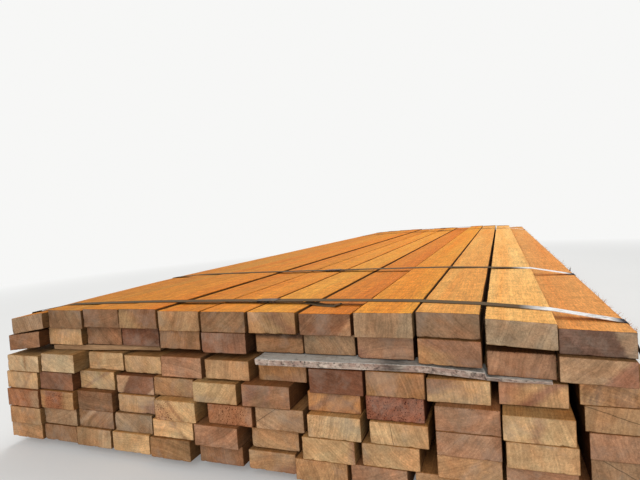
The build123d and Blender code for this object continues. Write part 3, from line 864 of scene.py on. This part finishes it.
def boardGrain(plain, random):
    # grain coordinates, measured from where the heart of the tree lay, seen from this board
    turn = random.uniform(0, fullTurn)
    reach = random.uniform(*heartReach)
    heart = (math.cos(turn) * reach, random.uniform(0, heartAlong), math.sin(turn) * reach - 0.02)
    return np.stack([plain[:, 1] + heart[0], plain[:, 0] + heart[1], plain[:, 2] + heart[2]], -1)


def faceTones(end, plain, place, last, rowShade):
    # sides in the gaps between boards are darkened as painted shade, the stack's own two sides aren't
    row, column = place
    # the sides take their end's tone by the side shares, partly painted shade, and some rows are darker still
    # as painted shade
    tones = everywhere([c * share * rowShade for c, share in zip(end, sideShares)], len(plain))
    rightSide, leftSide = plain[:, 1] < 1.0 * mm, plain[:, 1] > plain[:, 1].max() - 1.0 * mm
    inGap = (rightSide & (column < last)) | (leftSide & (column > 1))
    tones[inGap, :3] *= gapShade
    # the tops of the highest layer take their own tones, brightened as painted sunlight
    if row == 1:
        tones[plain[:, 2] > plain[:, 2].max() - 1.0 * mm, :3] = topTones[column - 1]
    return tones


def makeBoard(corners, place, last, seed):
    # one board, by its row from the top and its place from the left
    row, column = place
    random = np.random.default_rng(seed)
    look = dict(boardSettings, alongStep=topStep) if row == 1 else boardSettings
    points, quads, sides, edge, plain = sawnPiece(corners, random, **look)
    tone, saw, pores = woods[rowWoods[row - 1][column - 1]]
    coord = boardGrain(plain, random)
    light = random.uniform(0.92, 1.08)
    end = [c * light for c in tone]
    endTone = everywhere(end, len(points))
    for streak in streaks.get(place, []):
        paint(endTone, plain, random, *streak)
    traits = everywhere((saw, pores, noCheck), len(points))
    for speckle in speckles.get(place, []):
        paint(traits, plain, random, *speckle)
    traits[:, 2] = checkDistance(plain, *checks[place]) if place in checks else noCheck
    return dict(points=points, quads=quads, slots=np.where(sides < 2, 0, 1), grainCoord=coord, edge=edge,
                endTone=endTone, faceTone=faceTones(end, plain, place, last, shadedSides.get(row, 1.0)),
                traits=traits)


def makeBoards():
    # the boards of each layer as one piece; gives the solids of each row back, for what lies on them
    layerCount = len(rowWoods)
    rows = {}
    for level in range(1, layerCount + 1):
        row = layerCount - level + 1
        solids = sorted(islands(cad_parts[f"boards_layer_{level}"].data), key=lambda c: c[:, 0].min())
        rows[row] = solids
        made = [makeBoard(corners, (row, column + 1), len(solids), boardSeed * level + column)
                for column, corners in enumerate(solids)]
        piece = joinPieces(f"sawn_boards_{level}", made, [endGrain, sawnFace])
        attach(piece, "root")
        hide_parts(f"boards_layer_{level}")
    print("boards made")
    return rows


# Stickers and spacers

stripSettings = dict(step=4.0 * mm, alongStep=22 * mm, wear=(0.7 * mm, 1.8 * mm), endWear=0.8 * mm,
                     sideWander=1.0 * mm, endSlope=2.5 * mm, endRidges=0.3 * mm, chips=4)
stripSeed = 5000
stripGrain = 3.7        # metres of grain between one strip and the next
topSide = 5


def makeStrips():
    names = [name for name in sorted(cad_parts) if name.startswith(("sticker", "bottom_spacer"))]
    for number, name in enumerate(names):
        random = np.random.default_rng(stripSeed + number)
        corners = islands(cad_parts[name].data)[0]
        weathered = name == "sticker_front_right"
        look = dict(stripSettings, alongStep=rightStrip["alongStep"]) if weathered else stripSettings
        points, quads, sides, edge, plain = sawnPiece(corners, random, **look)
        traits = everywhere((0.0, 0.0, 0.0), len(points))
        start = stripGrain * number
        materials = [tanStrip if name == "sticker_front_left" else brownStrip]
        if weathered:
            start = rightStrip["grainStart"]
            materials = [weatheredTop, weatheredFront]
            for middle, spread in rightStrip["soot"]:
                traits[:, 0] += np.exp(-((plain[:, 0] - middle) / spread) ** 4)
        coord = np.stack([plain[:, 1] + stripHeart[0], plain[:, 0] + start, plain[:, 2] + stripHeart[1]], -1)
        unused = everywhere((0.0, 0.0, 0.0), len(points))
        slots = np.where(sides == topSide, 0, len(materials) - 1)
        made = [dict(points=points, quads=quads, slots=slots, grainCoord=coord, edge=edge, endTone=unused,
                     faceTone=unused, traits=traits)]
        piece = joinPieces(f"old_{name}", made, materials)
        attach(piece, "root")
        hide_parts(name)
    print("stickers and spacers made")


# Torn fibres

# darkFibre: torn fibres in the gaps and under overhanging boards, near black as painted shade
darkFibre, tanFibre, brightFibre = (0.035, 0.020, 0.012), (0.30, 0.17, 0.08), (0.42, 0.18, 0.045)
topLine = ((0.02, 1.0), (0.98, 1.0))
leftArris, rightArris = ((0.0, 1.0), (0.0, 1.0)), ((1.0, 1.0), (1.0, 1.0))


def fibres(row, place, line, count, length, lean, tone, **more):
    # fibres along an arris: the board, the line's two ends on its near end as shares to the right and up,
    # how many, their length in millimetres, direction and tone; more can be how thick they are, how much
    # their directions differ, and how far behind the near end they start (after) and reach (back)
    return dict(board=(row, place), line=line, count=count, reach=length * mm, lean=lean, tone=tone, **more)


fuzz = [
    fibres(2, 7, topLine, 90, 5, (0.2, -0.35, -0.5), darkFibre),
    fibres(2, 7, ((0.02, 0.93), (0.98, 0.93)), 45, 5, (0.4, -0.4, 0.3), tanFibre),
    fibres(2, 8, ((0.35, 1.0), (0.98, 1.0)), 35, 4, (0.2, -0.3, -0.3), darkFibre),
    fibres(2, 11, topLine, 100, 5, (0.1, -0.35, 0.5), darkFibre),
    fibres(2, 11, ((1.0, 0.98), (1.0, 0.05)), 50, 5, (0.7, -0.3, 0.2), tanFibre),
    fibres(2, 11, ((0.0, 0.98), (0.0, 0.05)), 50, 4, (-0.8, -0.2, 0.2), darkFibre),
    fibres(1, 11, ((0.0, 1.0), (0.0, 0.05)), 50, 4, (-0.8, -0.2, 0.2), darkFibre),
    fibres(4, 9, topLine, 50, 4, (0.1, -0.3, 0.4), darkFibre),
    fibres(4, 10, topLine, 50, 4, (0.1, -0.3, 0.4), darkFibre),
    fibres(5, 5, topLine, 40, 4, (0.1, -0.3, 0.4), darkFibre),
    # along the top arrises of the widest gap and of the right side, backwards from the near end
    fibres(1, 11, leftArris, 260, 6, (-0.8, 0.2, 0.1), darkFibre, back=1.3),
    fibres(1, 10, rightArris, 120, 4, (0.8, 0.2, 0.1), brightFibre, back=1.3),
    fibres(1, 12, rightArris, 330, 9, (0.5, 0.5, 0.4), brightFibre, back=3.4),
    fibres(1, 12, rightArris, 22, 16, (0.6, 0.9, 0.2), brightFibre, back=3.0, thick=1.3 * mm, spread=0.25),
    fibres(1, 12, rightArris, 2, 24, (-0.1, 0.3, 0.7), darkFibre, after=0.66, back=0.03, thick=2.4 * mm,
           spread=0.12),
]
fibreSettings = dict(thick=0.45 * mm, spread=0.55, edge=1.2 * mm, crowding=1.5, inBox=0.1 * mm, seed=77,
                     roughness=0.9, specular=0.1)


def nearEnd(corners):
    # the four corners of a board's near end, as (side, level) with 0 for left and bottom, 1 for right and top
    near = corners[corners[:, 1] < corners[:, 1].min() + 1 * mm][:, :3]
    middle = (near[:, 0].min() + near[:, 0].max()) / 2
    found = {}
    for side, half in ((0, near[near[:, 0] < middle]), (1, near[near[:, 0] > middle])):
        x = half[:, 0].max() if side else half[:, 0].min()
        for level in (0, 1):
            z = half[:, 2].max() if level else half[:, 2].min()
            found[side, level] = np.array([x, half[:, 1].mean(), z])
    return found


def onEnd(found, right, high):
    low = found[0, 0] * (1 - right) + found[1, 0] * right
    top = found[0, 1] * (1 - right) + found[1, 1] * right
    return low * (1 - high) + top * high


def fibre(root, run, random, look, box):
    # the seven points of one bent, tapering fibre: a triangle at its root, one at its bend, and its tip
    lean = np.array(run["lean"]) + random.normal(0, run.get("spread", look["spread"]), 3)
    along = lean / np.linalg.norm(lean)
    length = run["reach"] * random.uniform(0.4, 1.3)
    tip = np.clip(root + along * length, *box)
    side = np.cross(along, random.normal(0, 1, 3))
    side /= np.linalg.norm(side)
    up = np.cross(along, side)
    bend = np.clip((root + tip) / 2 + side * length * random.uniform(-0.2, 0.2), *box)
    radius = run.get("thick", look["thick"]) * random.uniform(0.5, 1.0) / 2
    around = [side * math.cos(turn) + up * math.sin(turn) for turn in np.radians((0, 120, 240))]
    rings = [np.clip(centre + way * width, *box)
             for centre, width in ((root, radius), (bend, 0.7 * radius)) for way in around]
    return rings + [tip]


def fibreFaces(first):
    corner = [first + k for k in range(7)]
    faces = [(corner[2], corner[1], corner[0])]
    for k in range(3):
        after = (k + 1) % 3
        faces.append((corner[k], corner[after], corner[3 + after], corner[3 + k]))
        faces.append((corner[3 + k], corner[3 + after], corner[6]))
    return faces


def makeFibres(rows):
    look = fibreSettings
    material, tree, shader = newMaterial("tornFibre")
    feed(tree, shader.inputs["Base Color"], attribute(tree, "faceTone", "Color"))
    feed(tree, shader.inputs["Roughness"], look["roughness"])
    feed(tree, shader.inputs["Specular IOR Level"], look["specular"])
    random = np.random.default_rng(look["seed"])
    points, faces, tones = [], [], []
    box = (cadLow + look["inBox"], cadHigh - look["inBox"])
    for run in fuzz:
        row, place = run["board"]
        found = nearEnd(rows[row][place - 1])
        start, stop = (onEnd(found, *end) for end in run["line"])
        inwards = onEnd(found, 0.5, 0.5) - (start + stop) / 2
        inwards *= look["edge"] / np.linalg.norm(inwards)
        for share in random.uniform(0, 1, run["count"]):
            root = start * (1 - share) + stop * share + inwards
            if "back" in run:
                back = run.get("after", 0) + run["back"] * random.uniform(0, 1) ** look["crowding"]
                root = root + np.array([0, back, 0])
            faces += fibreFaces(len(points))
            points += fibre(root, run, random, look, box)
            tones += [(*(c * random.uniform(0.7, 1.3) for c in run["tone"]), 1.0)] * 7
    mesh = bpy.data.meshes.new("torn_fibres")
    mesh.from_pydata([tuple(point) for point in points], [], faces)
    mesh.materials.append(material)
    mesh.attributes.new("faceTone", "FLOAT_COLOR", "POINT").data.foreach_set(
        "color", np.array(tones, np.float32).ravel())
    piece = linked("torn_fibres", mesh)
    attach(piece, "root")
    print("fibres made")


# Strapping

# The loose inner end of the first strap, in front of the band: places from its own end in the joint to
# a curled tip, as x, distance behind the stack's near line, and height
looseEnd = dict(width=22 * mm, thick=0.8 * mm, nearLine=-1.809, places=(
    (0.0815, 0.0950, 0.32685), (0.0950, 0.0915, 0.32640), (0.1080, 0.0880, 0.32480),
    (0.1200, 0.0845, 0.32340), (0.1300, 0.0815, 0.32310), (0.1420, 0.0780, 0.32310),
    (0.1520, 0.0750, 0.32340), (0.1580, 0.0732, 0.32430), (0.1605, 0.0725, 0.32560),
    (0.1600, 0.0726, 0.32690), (0.1580, 0.0732, 0.32750)))


def makeLooseEnd():
    look = looseEnd
    path = np.array([(x, look["nearLine"] + y, z) for x, y, z in look["places"]])
    ahead = np.gradient(path, axis=0)
    ahead /= np.linalg.norm(ahead, axis=1, keepdims=True)
    plan = path[-1] - path[0]
    across = np.array([-plan[1], plan[0], 0.0])
    across /= np.linalg.norm(across)
    normal = np.cross(ahead, across)
    normal /= np.linalg.norm(normal, axis=1, keepdims=True)
    rings = [path + across * look["width"] / 2 * a + normal * look["thick"] / 2 * b
             for a, b in ((-1, -1), (1, -1), (1, 1), (-1, 1))]
    points = np.stack(rings, 1).reshape(-1, 3)
    faces = [(4 * k + j, 4 * k + 4 + j, 4 * k + 4 + (j + 1) % 4, 4 * k + (j + 1) % 4)
             for k in range(len(path) - 1) for j in range(4)]
    last = 4 * (len(path) - 1)
    faces += [(0, 1, 2, 3), (last + 3, last + 2, last + 1, last)]
    mesh = bpy.data.meshes.new("loose_end")
    mesh.from_pydata(points.tolist(), [], faces)
    work = bmesh.new()
    work.from_mesh(mesh)
    bmesh.ops.recalc_face_normals(work, faces=work.faces)
    work.to_mesh(mesh)
    work.free()
    mesh.materials.append(strapping)
    piece = linked("loose_end", mesh)
    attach(piece, "root")
    print("loose end made")


def dressSteel():
    for name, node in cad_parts.items():
        if name.startswith(("strap", "seal")):
            node.data.materials.clear()
            node.data.materials.append(strapping if name.startswith("strap") else sealSteel)


rows = makeBoards()
makeStrips()
makeFibres(rows)
makeLooseEnd()
dressSteel()


# Studio

cameraSettings = dict(place=(0.4528, -2.5773, 0.4927), yaw=-20.94, pitch=-2.67, roll=-3.84, lens=26.57,
                      sensor=36.0, clipStart=0.01)


def makeCamera():
    look = cameraSettings
    camera = bpy.data.objects.new("camera", bpy.data.cameras.new("camera"))
    bpy.context.scene.collection.objects.link(camera)
    camera.data.lens = look["lens"]
    camera.data.sensor_width = look["sensor"]
    camera.data.clip_start = look["clipStart"]
    yaw, pitch, roll = (math.radians(look[name]) for name in ("yaw", "pitch", "roll"))
    ahead = Vector((math.sin(yaw) * math.cos(pitch), math.cos(yaw) * math.cos(pitch), math.sin(pitch)))
    level = Vector((math.cos(yaw), -math.sin(yaw), 0.0))
    above = level.cross(ahead)
    right = level * math.cos(roll) + above * math.sin(roll)
    up = above * math.cos(roll) - level * math.sin(roll)
    turned = Matrix((right, up, -ahead)).transposed().to_4x4()
    turned.translation = Vector(look["place"])
    camera.matrix_world = turned
    bpy.context.scene.camera = camera


lightSettings = dict(
    overhead=dict(place=(-0.6, 0.9, 3.4), aim=(0.0, 0.0, 0.3), size=3.6, power=105.0),
    front=dict(place=(0.9, -4.6, 1.7), aim=(0.0, -1.6, 0.2), size=3.0, power=70.0),
)
backgroundSettings = dict(colour=(0.93, 0.93, 0.92), light=0.5)
floorSettings = dict(reach=30.0, tones=((0.76, 0.76, 0.75), (0.80, 0.80, 0.79)), fade=(1.2, 4.5))


def makeLight(name, place, aim, size, power):
    lamp = bpy.data.lights.new(name, "AREA")
    lamp.shape = "DISK"
    lamp.size = size
    lamp.energy = power
    light = bpy.data.objects.new(name, lamp)
    bpy.context.scene.collection.objects.link(light)
    light.location = place
    light.rotation_euler = (Vector(aim) - Vector(place)).to_track_quat("-Z", "Y").to_euler()


def makeBackground():
    # as bright as its colour where it is seen, dimmer as a light
    look = backgroundSettings
    world = bpy.data.worlds.new("studio")
    bpy.context.scene.world = world
    world.use_nodes = True
    tree = world.node_tree
    tree.nodes.clear()
    rays = addNode(tree, "ShaderNodeLightPath").outputs
    seen = mathNode(tree, "MAXIMUM", rays["Is Camera Ray"],
                    mathNode(tree, "MAXIMUM", rays["Is Glossy Ray"], rays["Is Transmission Ray"]))
    strength = remap(tree, seen, 0.0, 1.0, look["light"], 1.0)
    sky = addNode(tree, "ShaderNodeBackground", {"Color": look["colour"], "Strength": strength})
    output = tree.nodes.new("ShaderNodeOutputWorld")
    tree.links.new(sky.outputs[0], output.inputs[0])


def makeFloor():
    look = floorSettings
    reach = look["reach"]
    mesh = bpy.data.meshes.new("studio_floor")
    mesh.from_pydata([(-reach, -reach, 0), (reach, -reach, 0), (reach, reach, 0), (-reach, reach, 0)], [],
                     [(0, 1, 2, 3)])
    floor = linked("studio_floor", mesh)
    material, tree, shader = newMaterial("paleFloor")
    coord = addNode(tree, "ShaderNodeTexCoord").outputs["Object"]
    pale = mixColour(tree, noise(tree, coord, 1.5, 3.0), *look["tones"])
    # away from the stack the floor fades into the pale background, for the camera and for reflections
    away = addNode(tree, "ShaderNodeVectorMath", {0: coord}, operation="LENGTH").outputs["Value"]
    rays = addNode(tree, "ShaderNodeLightPath").outputs
    seen = mathNode(tree, "MAXIMUM", rays["Is Camera Ray"], rays["Is Glossy Ray"])
    fade = times(tree, seen, remap(tree, away, *look["fade"]))
    feed(tree, shader.inputs["Base Color"], mixColour(tree, fade, pale, (0.0, 0.0, 0.0)))
    feed(tree, shader.inputs["Roughness"], 1.0)
    feed(tree, shader.inputs["Specular IOR Level"], 0.0)
    feed(tree, shader.inputs["Emission Color"], backgroundSettings["colour"])
    feed(tree, shader.inputs["Emission Strength"], fade)
    mesh.materials.append(material)


makeCamera()
for name, settings in lightSettings.items():
    makeLight(name, **settings)
makeBackground()
makeFloor()
bpy.context.scene.view_settings.view_transform = "Standard"
print("studio made")
